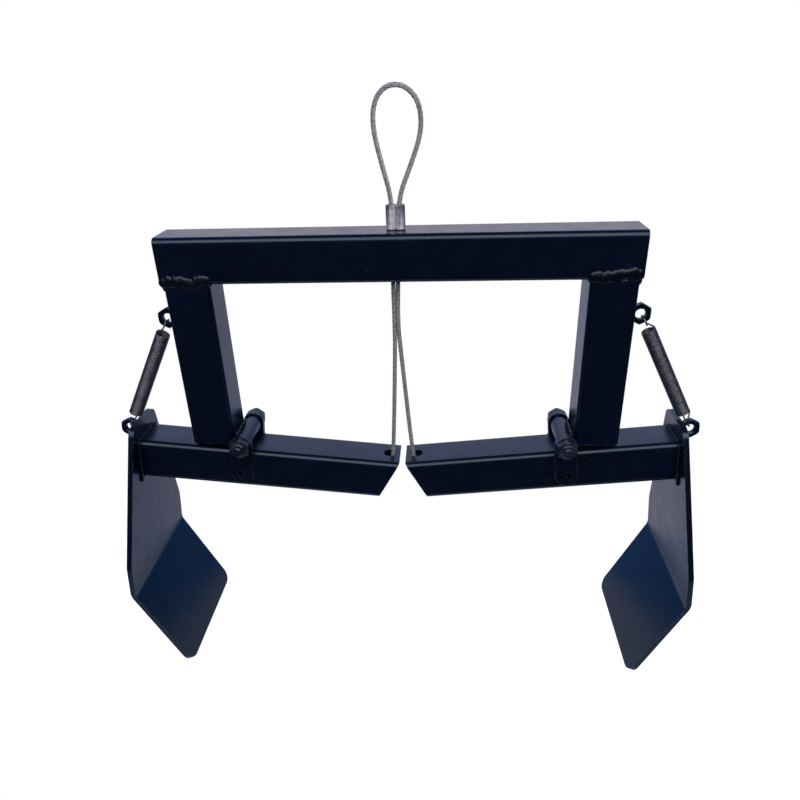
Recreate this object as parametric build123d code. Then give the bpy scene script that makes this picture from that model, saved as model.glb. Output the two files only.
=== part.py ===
"""Bag lifting clamp: a welded square-tube frame with two pivoting arms, each ending in a bent paddle.

Pulling the rope loop lifts the inner ends of both arms, which swings the paddles inwards against a bag.
Two tension springs open the clamp again. Millimetres, X along the beam, the front is -Y, Z up.
The origin is on the floor, midway between the lower edges of the paddles, in the open position.
"""
import os
from math import cos, pi, radians, sin, sqrt, tan

from build123d import *

# Square tube of the beam, the legs and the arms
TUBE = 40.0
TUBE_WALL = 2.5
TUBE_CORNER = 5.0

# Frame
BEAM_LENGTH = 400.0
LEG_INSET = 2.0
LEG_LENGTH = 153.7
ROPE_SLOT_LENGTH = 13.0
ROPE_SLOT_WIDTH = 6.0

# Pivots
BOLT_DIAMETER = 10.0
RUNNING_CLEARANCE = 0.1
BUSH_WALL = 2.9
BUSH_END_CLEARANCE = 0.5
PIVOT_ABOVE_LEG_END = 1.6
PIVOT_ABOVE_ARM = 9.6

# Arms: tilt when open, gap between the tips of their top faces, and length outwards from the pivot
ARM_TILT = 5.5
ARM_TIP_GAP = 5.4
ARM_OUTWARD = 101.9
ARM_END_SLANT = 24.0
ROPE_HOLE_DIAMETER = 12.0
ROPE_HOLE_INSET = 10.5

# Lugs on the sides of the arms
LUG_WIDTH = 20.0
LUG_PLATE = 5.0
LUG_ABOVE_ARM_BOTTOM = 7.0
LUG_WELD_HOLE = 9.0

# Paddles, measured along the plate from the arm's top face
PADDLE_PLATE = 5.0
PADDLE_WIDTH = 131.0
PADDLE_TOP_WIDTH = 48.0
PADDLE_TOP_RISE = 15.5
PADDLE_TOP_CORNER = 11.0
PADDLE_FLARE = 17.3
PADDLE_FLARE_BLEND = 25.0
PADDLE_BEND_DROP = 151.8
PADDLE_BEND = 31.3
PADDLE_BEND_RADIUS = 12.0
PADDLE_TOE = 99.5
PADDLE_TOE_CORNER = 11.5

# Hexagon hardware, for the bolt diameter above
HEX_ACROSS_FLATS = 17.0
HEX_CHAMFER = 1.0
BOLT_HEAD_HEIGHT = 6.4
BOLT_END_CHAMFER = 1.0
THREAD_CLEARANCE = 0.05
THREAD_BEYOND_NUT = 3.0
WASHER_DIAMETER = 20.0
WASHER_THICKNESS = 2.0
LOCK_NUT_HEX_HEIGHT = 7.0
LOCK_NUT_COLLAR_HEIGHT = 3.0
LOCK_NUT_COLLAR_DIAMETER = 14.5
ANCHOR_NUT_BORE = 9.0
ANCHOR_NUT_HEIGHT = 5.0
ANCHOR_NUT_COUNTERSINK = 0.7
LEG_NUT_DROP = 34.6
PADDLE_NUT_RISE = 4.5

# Tension springs, hooked in the anchor nuts
SPRING_WIRE = 1.5
SPRING_OUTER_DIAMETER = 13.0
SPRING_CURLS = 45
SPRING_NECK = 9.0
HOOK_CLEARANCE = 0.75
SPRING_LOOP_START = -130.0
SPRING_LEAST_GAP = 0.4

# Lifting rope, its loop ferrule and the stops inside the arms
ROPE_DIAMETER = 4.0
FERRULE_LENGTH = 20.0
FERRULE_WIDTH = 16.0
FERRULE_THICKNESS = 9.5
FERRULE_WAIST = 6.0
FERRULE_SEAT = 0.05
FERRULE_EDGE = 0.8
STOP_RADIUS = 7.0
STOP_BARREL_LENGTH = 8.0
STOP_CLEARANCE = 0.6
ROPE_ARC_SHARE = 0.45

# Rope route: half the strands' spacing in the ferrule, X and Z of the knees below the beam's underside,
# and X and Z of the loop above the beam's top, from the left strand round to the right strand
STRAND_OFFSET = 2.8
ROPE_KNEE = (2.1, -45.0)
ROPE_LOOP = [
    (-STRAND_OFFSET, -4.0),
    (-STRAND_OFFSET, 28.0),
    (-9.8, 50.0),
    (-15.4, 73.5),
    (-15.6, 89.5),
    (-11.4, 100.6),
    (-3.0, 107.6),
    (8.6, 107.4),
    (17.9, 99.0),
    (21.8, 87.0),
    (21.3, 71.0),
    (14.0, 50.0),
    (STRAND_OFFSET, 28.0),
    (STRAND_OFFSET, -4.0),
]

# Places worked out from the sizes above. Arm places are X and Z from the pivot, before the arm is tilted.
BUSH_RADIUS = BOLT_DIAMETER / 2 + RUNNING_CLEARANCE + BUSH_WALL
LEG_X = BEAM_LENGTH / 2 - LEG_INSET - TUBE / 2
PIVOT_X = LEG_X - TUBE / 2 - BUSH_RADIUS
ARM_TOP = -PIVOT_ABOVE_ARM
ARM_INWARD = (PIVOT_X - ARM_TIP_GAP / 2 - ARM_TOP * sin(radians(ARM_TILT))) / cos(radians(ARM_TILT))
PADDLE_TOP = ARM_TOP + PADDLE_TOP_RISE
PADDLE_BEND_Z = ARM_TOP - PADDLE_BEND_DROP
ANCHOR_OFFSET = HEX_ACROSS_FLATS / 2
SPRING_RADIUS = (SPRING_OUTER_DIAMETER - SPRING_WIRE) / 2


def tilted(x, z):
    """X and Z of an arm place from the pivot axis, with the arm at its open tilt."""
    a = radians(ARM_TILT)
    return x * cos(a) - z * sin(a), x * sin(a) + z * cos(a)


def paddle_corners(offset):
    """Top, bend and toe of the paddle's inner face (offset 0) or a face parallel to it."""
    a = radians(PADDLE_BEND)
    top = (ARM_OUTWARD + offset, PADDLE_TOP)
    bend = (ARM_OUTWARD + offset, PADDLE_BEND_Z - offset * tan(a / 2))
    toe_x = ARM_OUTWARD - PADDLE_TOE * sin(a) + offset * cos(a)
    toe_z = PADDLE_BEND_Z - PADDLE_TOE * cos(a) - offset * sin(a)
    return top, bend, (toe_x, toe_z)


# The outer edge of the toe stands on the floor
PIVOT_Z = -tilted(*paddle_corners(PADDLE_PLATE)[2])[1]
LEG_END_Z = PIVOT_Z - PIVOT_ABOVE_LEG_END
BEAM_BOTTOM = LEG_END_Z + LEG_LENGTH
BEAM_TOP = BEAM_BOTTOM + TUBE


def square_tube(length):
    """Square tube from the origin along +Z."""
    bore = TUBE - 2 * TUBE_WALL
    wall = RectangleRounded(TUBE, TUBE, TUBE_CORNER) - RectangleRounded(bore, bore, TUBE_CORNER - TUBE_WALL)
    return extrude(wall, amount=length)


def along_y(sketch, y_low, y_high):
    """Prism of a sketch drawn in X and Z, between two Y places."""
    return Pos(0, y_high, 0) * extrude(Plane.XZ * sketch, amount=y_high - y_low)


def hexagon():
    """Hexagon with one pair of flats facing along X."""
    return RegularPolygon(HEX_ACROSS_FLATS / 2, 6, major_radius=False, rotation=30)


def hex_prism(y_low, y_high):
    """Hexagon bar along Y with both ends turned to a cone at the corners."""
    bar = along_y(hexagon(), y_low, y_high)
    turned = along_y(Circle(HEX_ACROSS_FLATS / sqrt(3)), y_low, y_high)
    return bar & chamfer(turned.edges().filter_by(GeomType.CIRCLE), HEX_CHAMFER)


def on_arm(shape):
    """Moves a piece drawn from the pivot to its place on the right arm."""
    return Pos(PIVOT_X, 0, PIVOT_Z) * Rot(0, -ARM_TILT, 0) * shape


def beam():
    tube = Pos(-BEAM_LENGTH / 2, 0, BEAM_BOTTOM + TUBE / 2) * Rot(0, 90, 0) * square_tube(BEAM_LENGTH)
    slot = extrude(SlotOverall(ROPE_SLOT_LENGTH, ROPE_SLOT_WIDTH), amount=TUBE)
    return tube - Pos(0, 0, BEAM_BOTTOM) * slot


def leg():
    return Pos(LEG_X, 0, LEG_END_Z) * square_tube(LEG_LENGTH)


def pivot_bush():
    half = TUBE / 2 - BUSH_END_CLEARANCE
    ring = Circle(BUSH_RADIUS) - Circle(BUSH_RADIUS - BUSH_WALL)
    return Pos(PIVOT_X, 0, PIVOT_Z) * along_y(ring, -half, half)


def anchor_nut():
    """Thin nut with its axis along Y, at the origin, its bore countersunk at both ends."""
    half = ANCHOR_NUT_HEIGHT / 2
    nut = hex_prism(-half, half) - along_y(Circle(ANCHOR_NUT_BORE / 2), -half, half)
    rims = nut.edges().filter_by(GeomType.CIRCLE).group_by(SortBy.RADIUS)[0]
    return chamfer(rims, ANCHOR_NUT_COUNTERSINK)


def arm_tube():
    tube = Pos(-ARM_INWARD, 0, ARM_TOP - TUBE / 2) * Rot(0, 90, 0) * square_tube(ARM_INWARD + ARM_OUTWARD)
    cut_back = TUBE * tan(radians(ARM_END_SLANT))
    wedge = Polygon(
        (-ARM_INWARD, ARM_TOP),
        (-ARM_INWARD, ARM_TOP - TUBE),
        (-ARM_INWARD + cut_back, ARM_TOP - TUBE),
        align=None,
    )
    hole = Pos(-ARM_INWARD + ROPE_HOLE_INSET, 0, ARM_TOP - TUBE / 2)
    hole *= extrude(Circle(ROPE_HOLE_DIAMETER / 2), amount=TUBE / 2)
    return tube - along_y(wedge, -TUBE / 2, TUBE / 2) - hole


def lug(inner_y):
    """Flat bar on one side of the arm, its inner face at inner_y (positive for the rear)."""
    low = ARM_TOP - TUBE + LUG_ABOVE_ARM_BOTTOM
    length = LUG_WIDTH / 2 - low
    bar = Pos(0, LUG_WIDTH / 2 - length / 2) * Rot(0, 0, 90) * SlotOverall(length, LUG_WIDTH)
    bar -= Circle(BOLT_DIAMETER / 2 + RUNNING_CLEARANCE)
    bar -= Pos(0, low + LUG_WIDTH / 2) * Circle(LUG_WELD_HOLE / 2)
    outer_y = inner_y + (LUG_PLATE if inner_y > 0 else -LUG_PLATE)
    return along_y(bar, min(inner_y, outer_y), max(inner_y, outer_y))


def paddle():
    inner = FilletPolyline(*paddle_corners(0), radius=PADDLE_BEND_RADIUS)
    outer = FilletPolyline(*paddle_corners(PADDLE_PLATE), radius=PADDLE_BEND_RADIUS + PADDLE_PLATE)
    ends = [Line(inner @ 0, outer @ 0), Line(inner @ 1, outer @ 1)]
    side = make_face(Curve() + [inner, outer] + ends)
    blank = along_y(side, -PADDLE_WIDTH / 2, PADDLE_WIDTH / 2)
    thickness_edges = [e for e in blank.edges() if abs(e.length - PADDLE_PLATE) < PADDLE_PLATE / 1000]
    toe_edges = sorted(thickness_edges, key=lambda e: e.center().Z)[:2]
    blank = fillet(toe_edges, PADDLE_TOE_CORNER)
    half_top = PADDLE_TOP_WIDTH / 2
    half_low = PADDLE_WIDTH / 2
    flare_end = PADDLE_TOP - (half_low - half_top) / tan(radians(PADDLE_FLARE))
    floor = paddle_corners(PADDLE_PLATE)[2][1]
    outline = Polygon(
        (half_top, PADDLE_TOP),
        (-half_top, PADDLE_TOP),
        (-half_low, flare_end),
        (-half_low, floor),
        (half_low, floor),
        (half_low, flare_end),
        align=None,
    )
    corners = outline.vertices().group_by(Axis.Y)
    outline = fillet(corners[-1], PADDLE_TOP_CORNER)
    shoulders = [v for v in outline.vertices() if abs(v.Y - flare_end) < PADDLE_PLATE / 1000]
    outline = fillet(shoulders, PADDLE_FLARE_BLEND)
    return blank & extrude(Plane.YZ * outline, amount=ARM_OUTWARD + 2 * PADDLE_PLATE)


def pivot_stack():
    """Distances along Y of the outer faces of the lugs, washers and lock nut. The lock nut is in front."""
    lug_face = TUBE / 2 + LUG_PLATE
    seat = lug_face + WASHER_THICKNESS
    nut_end = seat + LOCK_NUT_HEX_HEIGHT + LOCK_NUT_COLLAR_HEIGHT
    return lug_face, seat, nut_end


def pivot_bolt():
    _, seat, nut_end = pivot_stack()
    head = hex_prism(seat, seat + BOLT_HEAD_HEIGHT)
    shank = along_y(Circle(BOLT_DIAMETER / 2), -nut_end - THREAD_BEYOND_NUT, seat)
    tip = shank.edges().filter_by(GeomType.CIRCLE).sort_by(Axis.Y)[0]
    return head + chamfer(tip, BOLT_END_CHAMFER)


def pivot_washers():
    lug_face, seat, _ = pivot_stack()
    ring = Circle(WASHER_DIAMETER / 2) - Circle(BOLT_DIAMETER / 2 + RUNNING_CLEARANCE)
    return Compound([along_y(ring, -seat, -lug_face), along_y(ring, lug_face, seat)])


def pivot_lock_nut():
    _, seat, nut_end = pivot_stack()
    collar_start = seat + LOCK_NUT_HEX_HEIGHT
    collar = along_y(Circle(LOCK_NUT_COLLAR_DIAMETER / 2), -nut_end, -collar_start)
    rim = collar.edges().filter_by(GeomType.CIRCLE).sort_by(Axis.Y)[0]
    nut = hex_prism(-collar_start, -seat) + chamfer(rim, LOCK_NUT_COLLAR_HEIGHT / 3)
    return nut - along_y(Circle(BOLT_DIAMETER / 2 + THREAD_CLEARANCE), -nut_end, -seat)


def biarc(start, end):
    """Two tangent arcs between two places, each given as a point and a unit direction."""
    (p0, t0), (p1, t1) = start, end
    chord = p1 - p0
    along = chord.dot(t0 + t1)
    bend = 2 * (1 - t0.dot(t1))
    reach = (sqrt(along * along + bend * chord.dot(chord)) - along) / bend
    corner_0 = p0 + t0 * reach
    corner_1 = p1 - t1 * reach
    middle = (corner_0 + corner_1) * 0.5
    return [TangentArc(p0, middle, tangent=t0), TangentArc(middle, p1, tangent=corner_1 - corner_0)]


def wire_tube(places, radius):
    """Round wire through places, joined by biarcs. Returns the solid and its path."""
    arcs = []
    for start, end in zip(places, places[1:]):
        arcs += biarc(start, end)
    path = Wire([arc.edge() for arc in arcs])
    section = Plane(origin=places[0][0], z_dir=places[0][1]) * Circle(radius)
    return sweep(section, path=path), path, min(arc.edge().radius for arc in arcs)


def spring_frame():
    """Plane at the right leg nut: X towards the paddle nut, Y as the part's Y. Also the nuts' distance."""
    x_low, z_low = tilted(ARM_OUTWARD + PADDLE_PLATE + ANCHOR_OFFSET, ARM_TOP + PADDLE_NUT_RISE)
    low = Vector(PIVOT_X + x_low, 0, PIVOT_Z + z_low)
    high = Vector(LEG_X + TUBE / 2 + ANCHOR_OFFSET, 0, BEAM_BOTTOM - LEG_NUT_DROP)
    run = low - high
    return Plane(origin=high, x_dir=run, z_dir=run.cross(Vector(0, 1, 0))), run.length


def hook_places():
    """Open loop in the upper anchor nut, from its free end to the first curl, along the spring's X.

    The loop hangs on the bore's edge on the spring's side, with a clearance for the swing."""
    edge_y = ANCHOR_NUT_HEIGHT / 2 - ANCHOR_NUT_COUNTERSINK
    inner_radius = SPRING_RADIUS - SPRING_WIRE / 2
    loop_x = ANCHOR_NUT_BORE / 2 - HOOK_CLEARANCE + sqrt(inner_radius**2 - edge_y**2)
    places = []
    for turn in (SPRING_LOOP_START, SPRING_LOOP_START / 2, 0.0, 90.0):
        a = radians(turn)
        point = Vector(loop_x - SPRING_RADIUS * cos(a), SPRING_RADIUS * sin(a), 0)
        places.append((point, Vector(sin(a), cos(a), 0)))
    return places, loop_x + SPRING_NECK


def curl_places(first, last):
    """Half turns of the winding between two places along the spring's X."""
    pitch = (last - first) / SPRING_CURLS
    rise = pitch / (2 * pi)
    places = []
    for half in range(2 * SPRING_CURLS + 1):
        side = 1 if half % 2 == 0 else -1
        point = Vector(first + pitch * half / 2, 0, side * SPRING_RADIUS)
        places.append((point, Vector(rise, -side * SPRING_RADIUS, 0).normalized()))
    return places, pitch


def right_spring():
    """Winding with its upper hook, and the lower hook that carries on from the last curl."""
    plane, span = spring_frame()
    hook, first = hook_places()
    curls, pitch = curl_places(first, span - first)
    winding, path, tightest = wire_tube(hook + curls, SPRING_WIRE / 2)
    turned = [(Vector(span - p.X, -p.Y, p.Z), Vector(t.X, t.Y, 0)) for p, t in reversed(hook)]
    lower, _, hook_tightest = wire_tube([curls[-1]] + turned, SPRING_WIRE / 2)
    report_spring(path, pitch, min(tightest, hook_tightest))
    return plane.location * winding, plane.location * lower


def report_spring(path, pitch, tightest):
    """Prints the wire's least gap to itself, measured on points half a wire apart, and its tightest arc."""
    count = int(path.length / (SPRING_WIRE / 2))
    points = [path.position_at(i / count) for i in range(count + 1)]
    window = int(2 * pi * SPRING_RADIUS / (SPRING_WIRE / 2))
    nearest = path.length
    for i, point in enumerate(points):
        for other in points[i + window // 3 : i + 2 * window]:
            nearest = min(nearest, (point - other).length)
    gap = nearest - SPRING_WIRE
    print(f"spring: pitch {pitch:.3f}, least gap {gap:.3f} (over {SPRING_LEAST_GAP}), tightest arc {tightest:.2f}")


def stop_centre():
    """X and Z of the right rope stop's dome, just under the arm's top wall."""
    x, z = tilted(-ARM_INWARD + ROPE_HOLE_INSET, ARM_TOP - TUBE_WALL - STOP_CLEARANCE - STOP_RADIUS)
    return PIVOT_X + x, PIVOT_Z + z


def rope_knee():
    """X and Z of the right strand's bend below the beam."""
    return ROPE_KNEE[0], BEAM_BOTTOM + ROPE_KNEE[1]


def rope_points():
    """Route of the rope from the left stop to the right stop."""
    right_end = [rope_knee(), stop_centre()]
    left_end = [(-x, z) for x, z in reversed(right_end)]
    loop = [(x, BEAM_TOP + z) for x, z in ROPE_LOOP]
    return [Vector(x, 0, z) for x, z in left_end + loop + right_end]


def lifting_rope():
    points = rope_points()
    radii = []
    for before, corner, after in zip(points, points[1:], points[2:]):
        turn = radians((corner - before).get_angle(after - corner))
        shorter = min((corner - before).length, (after - corner).length)
        radii.append(ROPE_ARC_SHARE * shorter / tan(turn / 2))
    path = FilletPolyline(*points, radius=radii)
    start = Plane(origin=points[0], z_dir=points[1] - points[0])
    rope = sweep(start * Circle(ROPE_DIAMETER / 2), path=path.wire())
    ideal = pi * ROPE_DIAMETER**2 / 4 * path.length
    print("rope: arc radii", ", ".join(f"{r:.1f}" for r in radii))
    print(f"rope: length {path.length:.1f}, volume over section times length {rope.volume / ideal:.5f}")
    return rope


def loop_ferrule():
    """Pressed sleeve with two lobes, one round each strand."""
    lobe = FERRULE_THICKNESS / 2
    strand = FERRULE_WIDTH / 2 - lobe
    body = Pos(-strand, 0) * Circle(lobe) + Pos(strand, 0) * Circle(lobe)
    body += Rectangle(2 * strand, FERRULE_WAIST)
    sleeve = extrude(body, amount=FERRULE_LENGTH)
    rims = sleeve.faces().sort_by(Axis.Z)
    sleeve = chamfer(rims[0].edges() + rims[-1].edges(), FERRULE_EDGE)
    for x in (-STRAND_OFFSET, STRAND_OFFSET):
        sleeve -= Pos(x, 0) * extrude(Circle(ROPE_DIAMETER / 2), amount=FERRULE_LENGTH)
    return Pos(0, 0, BEAM_TOP + FERRULE_SEAT) * sleeve


def rope_stop():
    """Domed stop pressed on the right end of the rope."""
    x, z = stop_centre()
    knee_x, knee_z = rope_knee()
    seat = Plane(origin=(x, 0, z), z_dir=(knee_x - x, 0, knee_z - z))
    body = Sphere(STOP_RADIUS)
    body += Pos(0, 0, -STOP_BARREL_LENGTH) * extrude(Circle(STOP_RADIUS), amount=STOP_BARREL_LENGTH)
    body -= extrude(Circle(ROPE_DIAMETER / 2), amount=STOP_RADIUS)
    return seat.location * body


def right_side():
    """Every piece of the right half, by name."""
    leg_nut_place = Pos(LEG_X + TUBE / 2 + ANCHOR_OFFSET, 0, BEAM_BOTTOM - LEG_NUT_DROP)
    paddle_nut_place = Pos(ARM_OUTWARD + PADDLE_PLATE + ANCHOR_OFFSET, 0, ARM_TOP + PADDLE_NUT_RISE)
    return {
        "leg": leg(),
        "pivot_bush": pivot_bush(),
        "leg_nut": leg_nut_place * anchor_nut(),
        "arm_tube": on_arm(arm_tube()),
        "front_lug": on_arm(lug(-TUBE / 2)),
        "rear_lug": on_arm(lug(TUBE / 2)),
        "paddle": on_arm(paddle()),
        "paddle_nut": on_arm(paddle_nut_place * anchor_nut()),
        "pivot_bolt": on_arm(pivot_bolt()),
        "pivot_washers": on_arm(pivot_washers()),
        "pivot_lock_nut": on_arm(pivot_lock_nut()),
        "rope_stop": rope_stop(),
    }


os.makedirs("parts", exist_ok=True)
pieces = {"top_beam": beam(), "lifting_rope": lifting_rope(), "loop_ferrule": loop_ferrule()}
for name, shape in right_side().items():
    pieces[f"right_{name}"] = shape
    pieces[f"left_{name}"] = mirror(shape, about=Plane.YZ)
# The springs are turned half round instead, so that both are wound the same way
for name, shape in zip(("spring", "spring_hook"), right_spring()):
    pieces[f"right_{name}"] = shape
    pieces[f"left_{name}"] = Rot(0, 0, 180) * shape
for name, shape in pieces.items():
    export_step(shape, f"parts/{name}.step")
print(f"pieces {len(pieces)}, pivot ({PIVOT_X:.2f}, {PIVOT_Z:.2f}), beam underside {BEAM_BOTTOM:.2f}")
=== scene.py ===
# %% [markdown]
# # Bag lifting clamp
# The real object is a welded frame of square tube with two arms that swing on bolts. Each arm ends in a bent
# paddle, a wire rope pulls the inner ends of the arms up, and two springs open the clamp again.
# The measured solids could be drawn again here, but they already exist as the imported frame. It is loaded as it is,
# and this file adds what makes it look real: strands, wound springs, weld beads, finishes, light and a camera.

# %% Load the measured frame
import random
from math import cos, pi, radians, sin

import bmesh
import bpy
from mathutils import Matrix, Vector


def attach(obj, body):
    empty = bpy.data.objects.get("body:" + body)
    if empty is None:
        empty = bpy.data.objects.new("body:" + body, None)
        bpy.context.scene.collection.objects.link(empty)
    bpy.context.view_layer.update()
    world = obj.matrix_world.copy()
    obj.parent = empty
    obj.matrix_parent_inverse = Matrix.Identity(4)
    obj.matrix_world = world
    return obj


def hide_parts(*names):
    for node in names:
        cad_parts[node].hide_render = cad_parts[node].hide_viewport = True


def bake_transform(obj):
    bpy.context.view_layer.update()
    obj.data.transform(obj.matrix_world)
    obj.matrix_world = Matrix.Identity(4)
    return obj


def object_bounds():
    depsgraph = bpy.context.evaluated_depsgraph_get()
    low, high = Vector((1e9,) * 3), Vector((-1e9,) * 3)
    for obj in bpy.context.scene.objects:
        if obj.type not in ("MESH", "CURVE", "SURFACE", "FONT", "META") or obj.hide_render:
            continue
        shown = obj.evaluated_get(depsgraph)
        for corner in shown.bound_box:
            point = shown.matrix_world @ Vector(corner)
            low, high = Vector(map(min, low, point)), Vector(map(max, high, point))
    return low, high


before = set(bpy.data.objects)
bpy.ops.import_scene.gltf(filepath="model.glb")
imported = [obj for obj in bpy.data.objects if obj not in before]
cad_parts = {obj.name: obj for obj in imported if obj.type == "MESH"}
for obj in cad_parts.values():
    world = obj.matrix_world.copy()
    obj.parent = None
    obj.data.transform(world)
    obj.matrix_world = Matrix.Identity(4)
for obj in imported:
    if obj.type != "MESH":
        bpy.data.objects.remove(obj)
cad_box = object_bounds()
stage_scene = bpy.context.scene
stage_scene.view_settings.view_transform = "Standard"
MM = 0.001
print("loaded", len(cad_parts), "solids, box", [tuple(round(v, 4) for v in corner) for corner in cad_box])

# %% [markdown]
# ## Camera
# The picture was taken from in front and above, with a wide lens quite near to the clamp, so the beam's top shows and
# the paddles lean outwards in the picture. A camera could be aimed by eye with a Track To constraint. Here its place
# and its three turns were solved from the corners of the beam, legs, arms and paddles, so they are written as numbers.

# %% Camera at the photograph's place
CAMERA_PLACE = Vector((39.37, -546.3, 552.06)) * MM
CAMERA_YAW, CAMERA_PITCH, CAMERA_ROLL = 4.270, -26.636, -1.940
CAMERA_LENS, CAMERA_SENSOR = 29.613, 36.0

lens = bpy.data.cameras.new("front_camera")
lens.sensor_width = CAMERA_SENSOR
lens.lens = CAMERA_LENS
lens.clip_start = 0.01
camera = bpy.data.objects.new("front_camera", lens)
stage_scene.collection.objects.link(camera)
camera.matrix_world = (
    Matrix.Translation(CAMERA_PLACE)
    @ Matrix.Rotation(radians(CAMERA_YAW), 4, "Z")
    @ Matrix.Rotation(radians(90 + CAMERA_PITCH), 4, "X")
    @ Matrix.Rotation(radians(CAMERA_ROLL), 4, "Z")
)
stage_scene.camera = camera
print("camera at", [round(v, 3) for v in CAMERA_PLACE], "lens", lens.lens, "mm")

# %% [markdown]
# ## Room
# Dark satin paint has little colour of its own, so nearly all that is seen on it is the room. The picture has a white
# backdrop straight behind the clamp, which greys the tops and the legs' inner faces, and a dim room in front, which
# leaves the front faces nearly black. A picture of a room could light the scene, but a gradient by direction is enough:
# a white wall behind that turns blue with height, and a dim blue at the sides and in front. Metal mirrors the wall at
# full strength, and camera rays see plain white all round.

# %% World
WHITE = (1.0, 1.0, 1.0, 1.0)
WALL_LOW = (0.61, 0.61, 0.80, 1.0)
WALL = (0.97, 0.90, 1.02, 1.0)
WALL_HIGH = (0.95, 1.16, 1.90, 1.0)
CEILING = (0.05, 0.07, 0.12, 1.0)
SIDE = (0.06, 0.31, 0.90, 1.0)
ROOM_LOW = (0.030, 0.060, 0.120, 1.0)
ROOM_HIGH = (0.035, 0.048, 0.080, 1.0)
# Heights (sine of the angle above level) and compass (1 is straight behind) over which one colour turns into the next.
ROOM_RISE = (-0.60, -0.10)
WALL_RISE = (-0.35, -0.05)
WALL_HIGH_RISE = (0.22, 0.50)
CEILING_RISE = (0.55, 0.75)
SIDE_COMPASS = (0.45, 0.72)
WALL_COMPASS = (0.80, 0.95)
WALL_AS_LIGHT = 0.8

world = bpy.data.worlds.new("white_backdrop_room")
world.use_nodes = True
stage_scene.world = world
nodes, links = world.node_tree.nodes, world.node_tree.links
nodes.clear()


def smooth_step(nodes, links, value, span):
    """0 below a span of values, 1 above it, and smooth between."""
    step = nodes.new("ShaderNodeMapRange")
    step.interpolation_type = "SMOOTHSTEP"
    step.inputs["From Min"].default_value, step.inputs["From Max"].default_value = span
    links.new(value, step.inputs["Value"])
    return step.outputs["Result"]


def blend_colours(nodes, links, factor, low, high):
    """Mixes two colours, each a constant or another node's output."""
    blend = nodes.new("ShaderNodeMix")
    blend.data_type = "RGBA"
    links.new(factor, blend.inputs["Factor"])
    for socket, colour in (("A", low), ("B", high)):
        if isinstance(colour, tuple):
            blend.inputs[socket].default_value = colour
        else:
            links.new(colour, blend.inputs[socket])
    return blend.outputs["Result"]


def mirror_rays(nodes, links, ray):
    """1 for rays that come from a mirror or through glass, 0 for the others."""
    either = nodes.new("ShaderNodeMath")
    either.operation = "MAXIMUM"
    links.new(ray.outputs["Is Glossy Ray"], either.inputs[0])
    links.new(ray.outputs["Is Transmission Ray"], either.inputs[1])
    return either.outputs[0]


direction = nodes.new("ShaderNodeTexCoord")
level = nodes.new("ShaderNodeVectorMath")
level.operation = "MULTIPLY"
level.inputs[1].default_value = (1, 1, 0)
heading = nodes.new("ShaderNodeVectorMath")
heading.operation = "NORMALIZE"
compass = nodes.new("ShaderNodeSeparateXYZ")
upright = nodes.new("ShaderNodeSeparateXYZ")
links.new(direction.outputs["Generated"], level.inputs[0])
links.new(level.outputs["Vector"], heading.inputs[0])
links.new(heading.outputs["Vector"], compass.inputs["Vector"])
links.new(direction.outputs["Generated"], upright.inputs["Vector"])

ray = nodes.new("ShaderNodeLightPath")
wall_strength = nodes.new("ShaderNodeMath")
wall_strength.operation = "MULTIPLY_ADD"
wall_strength.inputs[1].default_value = 1.0 - WALL_AS_LIGHT
wall_strength.inputs[2].default_value = WALL_AS_LIGHT
links.new(mirror_rays(nodes, links, ray), wall_strength.inputs[0])
behind = nodes.new("ShaderNodeMath")
behind.operation = "MULTIPLY"
links.new(smooth_step(nodes, links, compass.outputs["Y"], WALL_COMPASS), behind.inputs[0])
links.new(wall_strength.outputs[0], behind.inputs[1])

wall = WALL_LOW
for span, colour in ((WALL_RISE, WALL), (WALL_HIGH_RISE, WALL_HIGH), (CEILING_RISE, CEILING)):
    wall = blend_colours(nodes, links, smooth_step(nodes, links, upright.outputs["Z"], span), wall, colour)
dim = blend_colours(nodes, links, smooth_step(nodes, links, upright.outputs["Z"], ROOM_RISE), ROOM_LOW, ROOM_HIGH)
dim = blend_colours(nodes, links, smooth_step(nodes, links, compass.outputs["Y"], SIDE_COMPASS), dim, SIDE)
room = blend_colours(nodes, links, behind.outputs[0], dim, wall)
seen = blend_colours(nodes, links, ray.outputs["Is Camera Ray"], room, WHITE)
surround = nodes.new("ShaderNodeBackground")
surround.inputs["Strength"].default_value = 1.0
world_out = nodes.new("ShaderNodeOutputWorld")
links.new(seen, surround.inputs["Color"])
links.new(surround.outputs["Background"], world_out.inputs["Surface"])
print("world", world.name)

# %% [markdown]
# ## Floor and lamp
# The clamp stands on the lower edges of its paddles, on a pale sheet. A plain white floor would come out grey in its
# own shade, so a little glow, only for rays from the eye and from mirrors, lifts it to white and still lets a faint
# shadow through. The sheet ends soon behind the clamp, so the bent toes mirror the blue side of the room. One large
# soft lamp above and in front draws the long highlights on the tubes' round corners.

# %% Floor sheet and soft lamp
FLOOR_FRONT, FLOOR_BACK, FLOOR_HALF = -0.20, 0.14, 0.60
FLOOR_DROP = 0.4 * MM
FLOOR_MATT = (0.34, 0.36, 0.42, 1.0)
FLOOR_MIRROR_TINT = (0.88, 0.96, 1.40, 1.0)
FLOOR_GLOW_SEEN, FLOOR_GLOW_MIRRORED = 0.92, 0.36

floor_mesh = bpy.data.meshes.new("floor_sheet")
floor_mesh.from_pydata(
    [
        (-FLOOR_HALF, FLOOR_FRONT, 0),
        (FLOOR_HALF, FLOOR_FRONT, 0),
        (FLOOR_HALF, FLOOR_BACK, 0),
        (-FLOOR_HALF, FLOOR_BACK, 0),
    ],
    [],
    [(0, 1, 2, 3)],
)
floor = bpy.data.objects.new("floor_sheet", floor_mesh)
floor.location.z = cad_box[0].z - FLOOR_DROP
stage_scene.collection.objects.link(floor)

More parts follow.
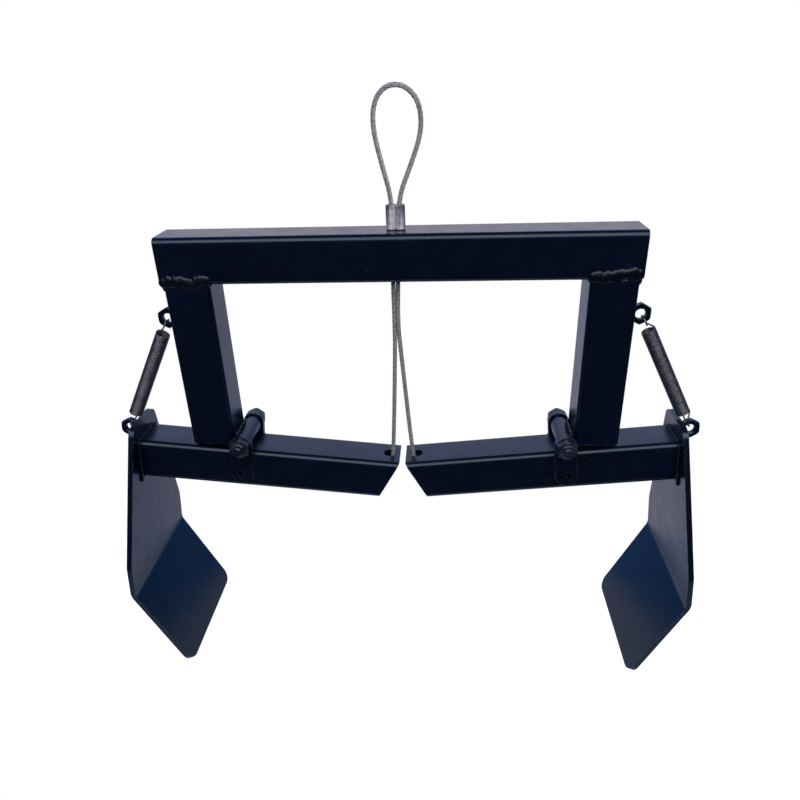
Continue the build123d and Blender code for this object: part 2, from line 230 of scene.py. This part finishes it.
pale_sheet = bpy.data.materials.new("pale_sheet")
pale_sheet.use_nodes = True
nodes, links = pale_sheet.node_tree.nodes, pale_sheet.node_tree.links
nodes.clear()
matt = nodes.new("ShaderNodeBsdfDiffuse")
matt.inputs["Color"].default_value = FLOOR_MATT
ray = nodes.new("ShaderNodeLightPath")
mirror_glow = nodes.new("ShaderNodeMath")
mirror_glow.operation = "MULTIPLY"
mirror_glow.inputs[1].default_value = FLOOR_GLOW_MIRRORED
lift = nodes.new("ShaderNodeMath")
lift.operation = "MULTIPLY_ADD"
lift.inputs[1].default_value = FLOOR_GLOW_SEEN
tint = blend_colours(nodes, links, ray.outputs["Is Camera Ray"], FLOOR_MIRROR_TINT, WHITE)
glow = nodes.new("ShaderNodeEmission")
links.new(tint, glow.inputs["Color"])
both = nodes.new("ShaderNodeAddShader")
floor_out = nodes.new("ShaderNodeOutputMaterial")
links.new(mirror_rays(nodes, links, ray), mirror_glow.inputs[0])
links.new(ray.outputs["Is Camera Ray"], lift.inputs[0])
links.new(mirror_glow.outputs[0], lift.inputs[2])
links.new(lift.outputs[0], glow.inputs["Strength"])
links.new(matt.outputs[0], both.inputs[0])
links.new(glow.outputs[0], both.inputs[1])
links.new(both.outputs[0], floor_out.inputs["Surface"])
floor_mesh.materials.append(pale_sheet)

LAMP_PLACE = Vector((0.10, -1.25, 1.45))
LAMP_AIM = Vector((0.0, 0.0, 0.30))
LAMP_WIDTH, LAMP_HEIGHT = 2.6, 1.3
LAMP_WATTS = 60.0
LAMP_COLOUR = (0.80, 0.90, 1.0)
soft_lamp_data = bpy.data.lights.new("soft_lamp", "AREA")
soft_lamp_data.shape = "RECTANGLE"
soft_lamp_data.size = LAMP_WIDTH
soft_lamp_data.size_y = LAMP_HEIGHT
soft_lamp_data.energy = LAMP_WATTS
soft_lamp_data.color = LAMP_COLOUR
soft_lamp = bpy.data.objects.new("soft_lamp", soft_lamp_data)
soft_lamp.location = LAMP_PLACE
soft_lamp.rotation_euler = (LAMP_AIM - LAMP_PLACE).to_track_quat("-Z", "Y").to_euler()
stage_scene.collection.objects.link(soft_lamp)
print("floor at", round(floor.location.z, 5), "lamp", soft_lamp_data.energy, "W")

# %% [markdown]
# ## Helpers for round work
# Rope strands, spring wire and weld beads are all a round section carried along a line. A curve with a bevel could
# make each one, but a bead changes its thickness on the way and a strand must not twist, so a small helper skins rings
# of points. The cross directions are carried from ring to ring, which keeps them from spinning.

# %% Rings along a line
def cross_directions(points, closed=False):
    """Direction and two cross directions at each point, carried along without spin."""
    places, side = [], None
    last = len(points) - 1
    for i, point in enumerate(points):
        before = points[i - 1] if i or closed else point
        after = points[(i + 1) % len(points)] if i < last or closed else point
        ahead = (after - before).normalized()
        side = ahead.orthogonal() if side is None else side - ahead * side.dot(ahead)
        side.normalize()
        places.append((ahead, side.copy(), ahead.cross(side)))
    return places


def skin_round(bm, points, radii, sides, closed=False):
    """Adds a round skin along points, with a radius at each point, and flat ends where it is open."""
    rings = []
    for point, radius, (ahead, side, other) in zip(points, radii, cross_directions(points, closed)):
        turns = (2 * pi * k / sides for k in range(sides))
        rings.append([bm.verts.new(point + (side * cos(t) + other * sin(t)) * radius) for t in turns])
    following = rings[1:] + rings[:1] if closed else rings[1:]
    for near, far in zip(rings, following):
        for k in range(sides):
            n = (k + 1) % sides
            bm.faces.new((near[k], near[n], far[n], far[k]))
    if not closed:
        bm.faces.new(list(reversed(rings[0])))
        bm.faces.new(rings[-1])


def piece_from(bm, name, finish):
    """A smooth-shaded object of the skin, with its finish."""
    mesh = bpy.data.meshes.new(name)
    bm.to_mesh(mesh)
    bm.free()
    mesh.shade_smooth()
    mesh.materials.append(finish)
    piece = bpy.data.objects.new(name, mesh)
    stage_scene.collection.objects.link(piece)
    print(name, len(mesh.vertices), "points")
    return piece


def even_points(line, step):
    """Points a step apart on a dense line."""
    spaced, carried = [line[0].copy()], 0.0
    for a, b in zip(line, line[1:]):
        run = (b - a).length
        while run > 0 and carried + run >= step:
            a = a.lerp(b, (step - carried) / run)
            run = (b - a).length
            carried = 0.0
            spaced.append(a.copy())
        carried += run
    return spaced


def new_finish(name):
    """A material with nodes: returns it with its nodes, its links and its shader."""
    finish = bpy.data.materials.new(name)
    finish.use_nodes = True
    tree = finish.node_tree
    return finish, tree.nodes, tree.links, tree.nodes["Principled BSDF"]


def grain(nodes, links, scale, detail=2.0):
    """Noise in the object's own metres; scale is about the count of lumps in a metre."""
    place = nodes.new("ShaderNodeTexCoord")
    lumps = nodes.new("ShaderNodeTexNoise")
    lumps.inputs["Scale"].default_value = scale
    lumps.inputs["Detail"].default_value = detail
    links.new(place.outputs["Object"], lumps.inputs["Vector"])
    return lumps.outputs["Fac"]


def ramp(nodes, links, value, stops):
    """Colours by value: stops are pairs of place and colour."""
    band = nodes.new("ShaderNodeValToRGB")
    marks = band.color_ramp.elements
    while len(marks) < len(stops):
        marks.new(0.5)
    for mark, (place, colour) in zip(marks, stops):
        mark.position = place
        mark.color = (*colour, 1.0) if len(colour) == 3 else colour
    links.new(value, band.inputs["Fac"])
    return band.outputs["Color"]


def to_range(nodes, links, value, low, high):
    """Stretches the noise's middle onto low to high."""
    stretch = nodes.new("ShaderNodeMapRange")
    stretch.inputs["From Min"].default_value = 0.3
    stretch.inputs["From Max"].default_value = 0.7
    stretch.inputs["To Min"].default_value = low
    stretch.inputs["To Max"].default_value = high
    links.new(value, stretch.inputs["Value"])
    return stretch.outputs["Result"]


def bumped(nodes, links, shader, layers):
    """Chains bump layers, each a height with its depth in metres and its strength."""
    normal = None
    for height, depth, strength in layers:
        relief = nodes.new("ShaderNodeBump")
        relief.inputs["Distance"].default_value = depth
        relief.inputs["Strength"].default_value = strength
        links.new(height, relief.inputs["Height"])
        if normal is not None:
            links.new(normal, relief.inputs["Normal"])
        normal = relief.outputs["Normal"]
    links.new(normal, shader.inputs["Normal"])


print("helpers ready")

# %% [markdown]
# ## Lifting rope
# One steel wire rope runs from a stop inside the left arm up through the beam, round the loop, and down to the right
# arm. A plain tube with a striped texture could stand for it. Near to, a wire rope is six strands laid round a core, so
# the route is drawn as one smooth NURBS line along the measured route, and six strands are wound along it.
# Its points follow the picture: the two falls sway and cross below the beam, and stay narrow enough for its slot.

# %% Rope finish
galvanised_strand, nodes, links, shader = new_finish("galvanised_strand")
shader.inputs["Metallic"].default_value = 0.35
tarnish = grain(nodes, links, 900, 3)
links.new(
    ramp(
        nodes,
        links,
        tarnish,
        [(0.35, (0.145, 0.130, 0.122)), (0.55, (0.31, 0.28, 0.26)), (0.75, (0.46, 0.42, 0.39))],
    ),
    shader.inputs["Base Color"],
)
links.new(to_range(nodes, links, tarnish, 0.30, 0.50), shader.inputs["Roughness"])
wires = nodes.new("ShaderNodeTexWave")
wires.bands_direction = "DIAGONAL"
wires.inputs["Scale"].default_value = 1.0
along_strand = nodes.new("ShaderNodeUVMap")
along_strand.uv_map = "wires"
links.new(along_strand.outputs["UV"], wires.inputs["Vector"])
bumped(nodes, links, shader, [(wires.outputs["Fac"], 0.00012, 0.6), (grain(nodes, links, 2500), 0.00005, 0.4)])
print("finish", galvanised_strand.name)

# %% Rope route and strands
ROPE_ROUTE = [
    (-10.9, 0, 209.8), (-9.4, 0, 219.2), (-4.5, 0.7, 322.0), (-3.9, 0.8, 352.0), (-4.0, 0.7, 393.8), (-2.8, 0, 430.75),
    (-2.8, 0, 459.75), (-9.0, 0, 483.4), (-14.9, 0, 508.7), (-15.1, 0, 524.6), (-11.2, 0, 535.6), (-3.0, 0, 542.4),
    (8.6, 0, 542.2), (18.1, 0, 534.3), (22.2, 0, 522.2), (21.4, 0, 506.2), (13.2, 0, 484.4), (2.8, 0, 459.75),
    (2.8, 0, 430.75), (0.4, -0.8, 393.8), (-0.9, -0.9, 352.0), (1.0, -0.7, 326.0), (9.3, -1.4, 219.2),
    (11.2, -0.6, 209.8),
]
ROPE_DIAMETER = 4.0 * MM
STRANDS = 6
STRAND_RADIUS = 0.69 * MM
STRAND_LAY = 26 * MM
STRAND_SIDES = 8
ROPE_STEP = 1.0 * MM
WIRE_UV_STEP = (0.35, 0.55)

route_curve = bpy.data.curves.new("rope_route", "CURVE")
route_curve.dimensions = "3D"
route_curve.resolution_u = 48
route = route_curve.splines.new("NURBS")
route.points.add(len(ROPE_ROUTE) - 1)
for point, (x, y, z) in zip(route.points, ROPE_ROUTE):
    point.co = (x * MM, y * MM, z * MM, 1)
route.order_u = 3
route.use_endpoint_u = True
route_holder = bpy.data.objects.new("rope_route", route_curve)
stage_scene.collection.objects.link(route_holder)
route_line = bpy.data.meshes.new_from_object(route_holder)
rope_centre = even_points([v.co.copy() for v in route_line.vertices], ROPE_STEP)
bpy.data.objects.remove(route_holder)

bm = bmesh.new()
rope_places = cross_directions(rope_centre)
ring_radius = ROPE_DIAMETER / 2 - STRAND_RADIUS
for strand in range(STRANDS):
    points, walked = [], 0.0
    for i, (point, (ahead, side, other)) in enumerate(zip(rope_centre, rope_places)):
        walked += (point - rope_centre[i - 1]).length if i else 0.0
        turn = 2 * pi * (strand / STRANDS + walked / STRAND_LAY)
        points.append(point + (side * cos(turn) + other * sin(turn)) * ring_radius)
    skin_round(bm, points, [STRAND_RADIUS] * len(points), STRAND_SIDES)
skin_round(bm, rope_centre, [ring_radius - 0.3 * STRAND_RADIUS] * len(rope_centre), STRAND_SIDES)
lifting_rope = piece_from(bm, "lifting_rope_strands", galvanised_strand)
wire_lay = lifting_rope.data.uv_layers.new(name="wires")
for face in lifting_rope.data.polygons:
    for loop in face.loop_indices:
        vertex = lifting_rope.data.loops[loop].vertex_index
        ring, place = divmod(vertex, STRAND_SIDES)
        wire_lay.data[loop].uv = (ring * WIRE_UV_STEP[0], place * WIRE_UV_STEP[1])
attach(lifting_rope, "rope")
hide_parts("lifting_rope")
rope_measure = sum((b - a).length for a, b in zip(rope_centre, rope_centre[1:]))
print("rope line", round(rope_measure, 4), "m")

# %% [markdown]
# ## Springs
# Each spring is a close-wound tension spring with a loop at each end, hooked in the nuts on the leg and the paddle. A
# cylinder with a bump could look right from far off. Here one wire is followed from the upper loop through every curl
# to the lower loop. When the clamp closes, the lower loop slides away; the wire here is drawn in the rest pose only.

# %% Spring finish
oiled_spring_steel, nodes, links, shader = new_finish("oiled_spring_steel")
shader.inputs["Metallic"].default_value = 0.8
film = grain(nodes, links, 260, 3)
links.new(
    ramp(
        nodes,
        links,
        film,
        [(0.35, (0.065, 0.055, 0.060)), (0.6, (0.11, 0.095, 0.105)), (0.8, (0.17, 0.145, 0.145))],
    ),
    shader.inputs["Base Color"],
)
links.new(to_range(nodes, links, film, 0.28, 0.46), shader.inputs["Roughness"])
bumped(nodes, links, shader, [(grain(nodes, links, 3000), 0.00004, 0.4)])
print("finish", oiled_spring_steel.name)

# %% Spring wire
SPRING_WIRE = 1.5
SPRING_RADIUS = 5.75
SPRING_TURNS = 58
LEG_NUT = Vector((206.5, 0, 360.15))
PADDLE_NUT = Vector((265.36, 0, 248.63))
HOOK_CENTRE = 8.415
HOOK_NECK = 9.0
HOOK_OPEN_FROM = -110
NECK_EASE = 4.0
CURL_STEPS = 20
WIRE_SIDES = 8
HANG = {"left": 0.0, "right": 0.9}


def hook_line():
    """Upper loop from its free end to the first curl, in millimetres along the spring."""
    turns = [radians(t) for t in range(HOOK_OPEN_FROM, 91, 10)]
    loop = [Vector((HOOK_CENTRE - SPRING_RADIUS * cos(a), SPRING_RADIUS * sin(a), 0)) for a in turns]
    start = Vector((HOOK_CENTRE, SPRING_RADIUS, 0))
    finish = Vector((HOOK_CENTRE + HOOK_NECK, 0, SPRING_RADIUS))
    lean_out, lean_in = start + Vector((NECK_EASE, 0, 0)), finish + Vector((0, NECK_EASE, 0))
    neck = []
    for k in range(1, 13):
        t = k / 13
        near = start * (1 - t) ** 3 + lean_out * 3 * t * (1 - t) ** 2
        neck.append(near + lean_in * 3 * t * t * (1 - t) + finish * t**3)
    return loop + [start] + neck


def spring_line(span):
    """The whole wire, hook to hook, with X along the spring."""
    upper = hook_line()
    first, last = HOOK_CENTRE + HOOK_NECK, span - HOOK_CENTRE - HOOK_NECK
    steps = SPRING_TURNS * CURL_STEPS
    curls = []
    for k in range(steps + 1):
        a = 2 * pi * SPRING_TURNS * k / steps
        along = first + (last - first) * k / steps
        curls.append(Vector((along, -SPRING_RADIUS * sin(a), SPRING_RADIUS * cos(a))))
    lower = [Vector((span - p.x, -p.y, p.z)) for p in reversed(upper)]
    return upper + curls + lower, first, last


for side_name, mirror in (("left", -1), ("right", 1)):
    high = Vector((LEG_NUT.x * mirror + HANG[side_name], 0, LEG_NUT.z))
    low = Vector((PADDLE_NUT.x * mirror, 0, PADDLE_NUT.z))
    run = (low - high).normalized()
    across = Vector((0, mirror, 0))
    outward = run.cross(across)
    wire, first, last = spring_line((low - high).length)
    bm = bmesh.new()
    placed = [(high + run * p.x + across * p.y + outward * p.z) * MM for p in wire]
    skin_round(bm, placed, [SPRING_WIRE / 2 * MM] * len(placed), WIRE_SIDES)
    spring = piece_from(bm, side_name + "_spring_wire", oiled_spring_steel)
    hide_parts(side_name + "_spring", side_name + "_spring_hook")
    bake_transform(spring)

# %% [markdown]
# ## Paint
# Frame, arms and paddles are sprayed in one satin blue-black coat, over the welds and all. One flat dark colour would
# look like plastic. The coat varies a little in depth and gloss, has a fine orange-peel surface, a few specks of dust,
# and is thin and rubbed along sharp edges, which a bevel node finds by comparing the rounded with the true normal.

# %% Satin paint
def sprayed_coat(name, deep, thin, gloss, wear, sheen):
    """Satin paint: two shades of the coat, its roughness range, how far edges rub and the tint of its shine."""
    finish, nodes, links, shader = new_finish(name)
    shader.inputs["Specular IOR Level"].default_value = 0.3
    shader.inputs["Specular Tint"].default_value = (*sheen, 1)
    cloud = ramp(nodes, links, grain(nodes, links, 22, 4), [(0.35, deep), (0.68, thin)])
    dust = ramp(nodes, links, grain(nodes, links, 520, 1), [(0.77, (0, 0, 0)), (0.85, (1, 1, 1))])
    dusted = nodes.new("ShaderNodeMix")
    dusted.data_type = "RGBA"
    dusted.inputs["B"].default_value = (0.030, 0.032, 0.040, 1)
    links.new(dust, dusted.inputs["Factor"])
    links.new(cloud, dusted.inputs["A"])
    rounded = nodes.new("ShaderNodeBevel")
    rounded.samples = 4
    rounded.inputs["Radius"].default_value = 0.0011
    true_face = nodes.new("ShaderNodeNewGeometry")
    same = nodes.new("ShaderNodeVectorMath")
    same.operation = "DOT_PRODUCT"
    links.new(rounded.outputs["Normal"], same.inputs[0])
    links.new(true_face.outputs["Normal"], same.inputs[1])
    edge = ramp(nodes, links, same.outputs["Value"], [(0.80, (1, 1, 1)), (0.97, (0, 0, 0))])
    patchy = ramp(nodes, links, grain(nodes, links, 140, 4), [(0.45, (0, 0, 0)), (0.62, (wear, wear, wear))])
    rub = nodes.new("ShaderNodeMath")
    rub.operation = "MULTIPLY"
    links.new(edge, rub.inputs[0])
    links.new(patchy, rub.inputs[1])
    rubbed = nodes.new("ShaderNodeMix")
    rubbed.data_type = "RGBA"
    rubbed.inputs["B"].default_value = (0.075, 0.080, 0.095, 1)
    links.new(rub.outputs[0], rubbed.inputs["Factor"])
    links.new(dusted.outputs["Result"], rubbed.inputs["A"])
    links.new(rubbed.outputs["Result"], shader.inputs["Base Color"])
    links.new(to_range(nodes, links, grain(nodes, links, 60, 3), *gloss), shader.inputs["Roughness"])
    bumped(
        nodes,
        links,
        shader,
        [(grain(nodes, links, 75, 2), 0.0005, 0.10), (grain(nodes, links, 950, 1), 0.00012, 0.16)],
    )
    return finish


BLUISH, PLAIN = (0.72, 0.86, 1.0), (0.68, 0.63, 0.64)
black_paint = sprayed_coat(
    "satin_blue_black", (0.0005, 0.0012, 0.0045), (0.0010, 0.0023, 0.0080), (0.24, 0.31), 0.7, BLUISH
)
hardware_paint = sprayed_coat(
    "painted_hardware", (0.0045, 0.0055, 0.0100), (0.0090, 0.0105, 0.0160), (0.26, 0.44), 1.0, BLUISH
)
weld_paint = sprayed_coat(
    "painted_welds", (0.0008, 0.0012, 0.0035), (0.0014, 0.0020, 0.0055), (0.27, 0.40), 0.5, PLAIN
)

PAINTED = ["top_beam"] + [
    side_name + part
    for side_name in ("left", "right")
    for part in ("_leg", "_pivot_bush", "_leg_nut", "_arm_tube", "_front_lug", "_rear_lug", "_paddle", "_paddle_nut")
]
HARDWARE = [s + p for s in ("left", "right") for p in ("_pivot_bolt", "_pivot_washers", "_pivot_lock_nut")]


def coat(names, finish):
    """Gives solids of the frame a finish; their shapes stay as they are."""
    for name in names:
        for face_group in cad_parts[name].material_slots:
            face_group.material = finish


coat(PAINTED, black_paint)
coat(HARDWARE, hardware_paint)
print("painted", len(PAINTED), "pieces and", len(HARDWARE), "fasteners")

# %% [markdown]
# ## Pressed sleeves
# The ferrule that closes the loop is a double-barrel aluminium sleeve, squeezed flat in a press. A smooth metal would
# look turned, not pressed, so the finish is dull, streaked along the sleeve and finely pitted, with faint lines across
# it where the press jaws met. The two stops on the rope's ends sit inside the arms. They get the dark hardware paint in
# place of bare aluminium, as painted shade that keeps the holes in the arms dark inside.

# %% Pressed aluminium
STREAK_STRETCH = (1.0, 1.0, 0.15)

pressed_aluminium, nodes, links, shader = new_finish("pressed_aluminium")
shader.inputs["Metallic"].default_value = 0.6
own_place = nodes.new("ShaderNodeTexCoord")
drawn_out = nodes.new("ShaderNodeVectorMath")
drawn_out.operation = "MULTIPLY"
drawn_out.inputs[1].default_value = STREAK_STRETCH
streaks = nodes.new("ShaderNodeTexNoise")
streaks.inputs["Scale"].default_value = 330
streaks.inputs["Detail"].default_value = 3
links.new(own_place.outputs["Object"], drawn_out.inputs[0])
links.new(drawn_out.outputs["Vector"], streaks.inputs["Vector"])
oxide = streaks.outputs["Fac"]
links.new(
    ramp(
        nodes,
        links,
        oxide,
        [(0.34, (0.12, 0.085, 0.085)), (0.50, (0.32, 0.25, 0.26)), (0.66, (0.58, 0.49, 0.50))],
    ),
    shader.inputs["Base Color"],
)
links.new(to_range(nodes, links, oxide, 0.38, 0.58), shader.inputs["Roughness"])
jaw_lines = nodes.new("ShaderNodeTexWave")
jaw_lines.bands_direction = "Z"
jaw_lines.inputs["Scale"].default_value = 48
jaw_lines.inputs["Distortion"].default_value = 1.5
links.new(own_place.outputs["Object"], jaw_lines.inputs["Vector"])
bumped(nodes, links, shader, [(jaw_lines.outputs["Fac"], 0.0003, 0.25), (grain(nodes, links, 1500), 0.0001, 0.35)])
coat(["loop_ferrule"], pressed_aluminium)
# Painted shade: the stops get the dark hardware paint, which stands in for the shade inside the arms' holes.
coat(["left_rope_stop", "right_rope_stop"], hardware_paint)
print("finish", pressed_aluminium.name)

# %% [markdown]
# ## Weld beads
# The tubes, lugs, paddles and nuts are joined by hand-laid welds, smooth but uneven, and painted over. A bump map could
# draw ripples, but a bead stands proud of the corner and catches the light. So each bead is a row of long, flat drops
# that overlap, as the torch leaves them, and a voxel remesh with a little smoothing melts each row into one wavy skin.

# %% Bead helpers
hand = random.Random(11)
PIVOT_X, PIVOT_Z, ARM_TILT = 150.0, 242.65, radians(5.5)
TUBE_SKIN = 19.9
NUT_SEAM_RISE, NUT_SEAM_HALF = 5.7, 2.2


def drop(bm, place, along, out, sizes):
    """One drop of weld metal: sizes are its half lengths along the bead, across it and outwards, in millimetres."""
    across = out.cross(along)
    made = bmesh.ops.create_icosphere(bm, subdivisions=2, radius=1.0)
    for vertex in made["verts"]:
        a, b, c = vertex.co
        vertex.co = (place + along * (a * sizes[0]) + across * (b * sizes[1]) + out * (c * sizes[2])) * MM


def bead(bm, corners, out, thick, wide=1.0, unsteady=0.12):
    """A row of long drops between corner points: thick and wide are its half height and half width over thick."""
    out = Vector(out)
    line = even_points([Vector(c) for c in corners], 1.5 * thick)
    for place, (along, _, _) in zip(line, cross_directions(line)):
        level = (out - along * out.dot(along)).normalized()
        drift = level.cross(along) * hand.gauss(0, unsteady) * thick * wide
        drift += level * hand.gauss(0, 0.5 * unsteady) * thick
        stretch, spread, swell = hand.uniform(1.7, 2.6), hand.uniform(0.85, 1.15), hand.uniform(0.9, 1.1)
        sizes = [thick * stretch, thick * wide * spread, thick * swell]
        drop(bm, place + drift, along, level, sizes)


def spatter(bm, place, size):
    """A small round drop that flew from the weld."""
    drop(bm, Vector(place), Vector((1, 0, 0)), Vector((0, 1, 0)), [size * hand.uniform(0.8, 1.2) for _ in range(3)])


def melt(bm, name, body, rounds=4):
    """Joins the drops into one skin, smooths it for some rounds and lets it ride on a body."""
    rough = bpy.data.meshes.new(name + "_drops")
    bm.to_mesh(rough)
    bm.free()
    holder = bpy.data.objects.new(name + "_drops", rough)
    stage_scene.collection.objects.link(holder)
    joined = holder.modifiers.new("melt", "REMESH")
    joined.mode = "VOXEL"
    joined.voxel_size = 0.5 * MM
    settle = holder.modifiers.new("settle", "SMOOTH")
    settle.factor = 0.5
    settle.iterations = rounds
    skin = bmesh.new()
    skin.from_mesh(bpy.data.meshes.new_from_object(holder.evaluated_get(bpy.context.evaluated_depsgraph_get())))
    bpy.data.objects.remove(holder)
    welds = piece_from(skin, name, weld_paint)
    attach(welds, body)
    return welds


def across(x, z, half):
    """A straight seam from front to back, in millimetres."""
    return [(x, -half, z), (x, half, z)]


def on_arm(mirror, x, y, z):
    """A place on an arm, given from its pivot along the arm, in millimetres of the row frame."""
    along, rise = x * cos(ARM_TILT) - z * sin(ARM_TILT), x * sin(ARM_TILT) + z * cos(ARM_TILT)
    return (mirror * (PIVOT_X + along), y, PIVOT_Z + rise)


print("bead helpers ready")

# %% Welds of the frame
BEAM_UNDER = 394.75
LEG_INNER, LEG_OUTER = 158.0, 198.0
SEAM_WAVE = {
    -1: ((3, 3.6), (8, 4.2), (14, 2.8), (22, 3.4), (30, 2.6), (38, 3.2)),
    1: ((3, 2.6), (8, 2.8), (14, 4.0), (22, 4.2), (30, 5.2), (38, 5.4)),
}
SEAM_TOE = {-1: ((17, -2.0), (30, -2.6)), 1: ((13, -1.8), (35, 0.4))}
SEAM_DEPTH = 19.4
LEG_NUT_SEAM_X = 199.0
BUSH_SEAM_X, BUSH_SEAM_RISE = 156.6, 5.2

bm = bmesh.new()
for mirror in (-1, 1):
    for front in (-1, 1):
        seam = [(mirror * (LEG_INNER + x), front * SEAM_DEPTH, BEAM_UNDER + z) for x, z in SEAM_WAVE[mirror]]
        bead(bm, seam, (0, front, 0), 2.3, wide=2.3)
        toe = [(mirror * (LEG_INNER + x), front * TUBE_SKIN, BEAM_UNDER + z) for x, z in SEAM_TOE[mirror]]
        bead(bm, toe, (0, front, 0), 1.1, unsteady=0.2)
    inner, outer = mirror * (LEG_INNER - 0.4), mirror * (LEG_OUTER - 0.2)
    bead(bm, across(inner, BEAM_UNDER - 0.4, 17), (-mirror, 0, -1), 2.2)
    bead(bm, across(outer, BEAM_UNDER - 2.6, 16), (0.9 * mirror, 0, -0.44), 1.5, wide=2.6)
    for rise in (-NUT_SEAM_RISE, NUT_SEAM_RISE):
        bead(bm, across(mirror * LEG_NUT_SEAM_X, LEG_NUT.z + rise, NUT_SEAM_HALF), (mirror, 0, 0), 1.6)
    bead(bm, across(mirror * BUSH_SEAM_X, PIVOT_Z + BUSH_SEAM_RISE, 16), (-mirror, 0, 1), 1.8)
    for _ in range(16):
        x, z = mirror * hand.uniform(160, LEG_OUTER), BEAM_UNDER + hand.gauss(4, 6)
        spatter(bm, (x, -TUBE_SKIN, z), hand.uniform(0.5, 0.9))
melt(bm, "frame_welds", "frame", rounds=9)

# %% Welds of the arms
ARM_END, ARM_TOP, ARM_LOW = 101.1, -9.3, -50.2
END_SEAM_HEIGHTS = (ARM_TOP - 4.0, ARM_TOP - 20.0, ARM_LOW + 3.0, ARM_LOW - 2.5)
END_SEAM_DEPTH, LUG_SEAM_DEPTH = 20.5, 20.4
LUG_SEAM_RADIUS, LUG_FOOT, LUG_SEAM_TOP = 10.4, -32.6, -13.6
PADDLE_NUT_SEAM_X, PADDLE_NUT_ON_ARM = 107.8, -5.1
STEADY = 0.08

foot = [
    (LUG_SEAM_RADIUS * cos(radians(t)), LUG_FOOT + LUG_SEAM_RADIUS * sin(radians(t))) for t in range(180, 361, 20)
]
lug_outline = [(-LUG_SEAM_RADIUS, LUG_SEAM_TOP)] + foot + [(LUG_SEAM_RADIUS, LUG_SEAM_TOP)]
for side_name, mirror in (("left", -1), ("right", 1)):
    bm = bmesh.new()
    for face in (-1, 1):
        seam = [on_arm(mirror, ARM_END, face * END_SEAM_DEPTH, z) for z in END_SEAM_HEIGHTS]
        bead(bm, seam, (-mirror * 0.7, face * 0.7, 0), 1.7, unsteady=STEADY)
        seam = [on_arm(mirror, x, face * LUG_SEAM_DEPTH, z) for x, z in lug_outline]
        bead(bm, seam, (0, face, 0), 1.3, unsteady=STEADY)
        for _ in range(8):
            x, z = hand.uniform(-24, 24), hand.uniform(-45, -17)
            spatter(bm, on_arm(mirror, x, face * TUBE_SKIN, z), hand.uniform(0.5, 0.8))
    for z, lift, thick in ((ARM_TOP, 1, 1.2), (ARM_LOW, -1, 1.7)):
        seam = [on_arm(mirror, ARM_END + 0.2, y, z) for y in (-17.0, -5.0, 6.0, 17.0)]
        bead(bm, seam, (-mirror * 0.7, 0, lift * 0.7), thick, unsteady=STEADY)
    for rise in (-NUT_SEAM_RISE, NUT_SEAM_RISE):
        height = PADDLE_NUT_ON_ARM + rise
        seam = [on_arm(mirror, PADDLE_NUT_SEAM_X, y, height) for y in (-NUT_SEAM_HALF, NUT_SEAM_HALF)]
        bead(bm, seam, (mirror, 0, 0), 1.7)
    melt(bm, side_name + "_arm_welds", side_name + "_arm")
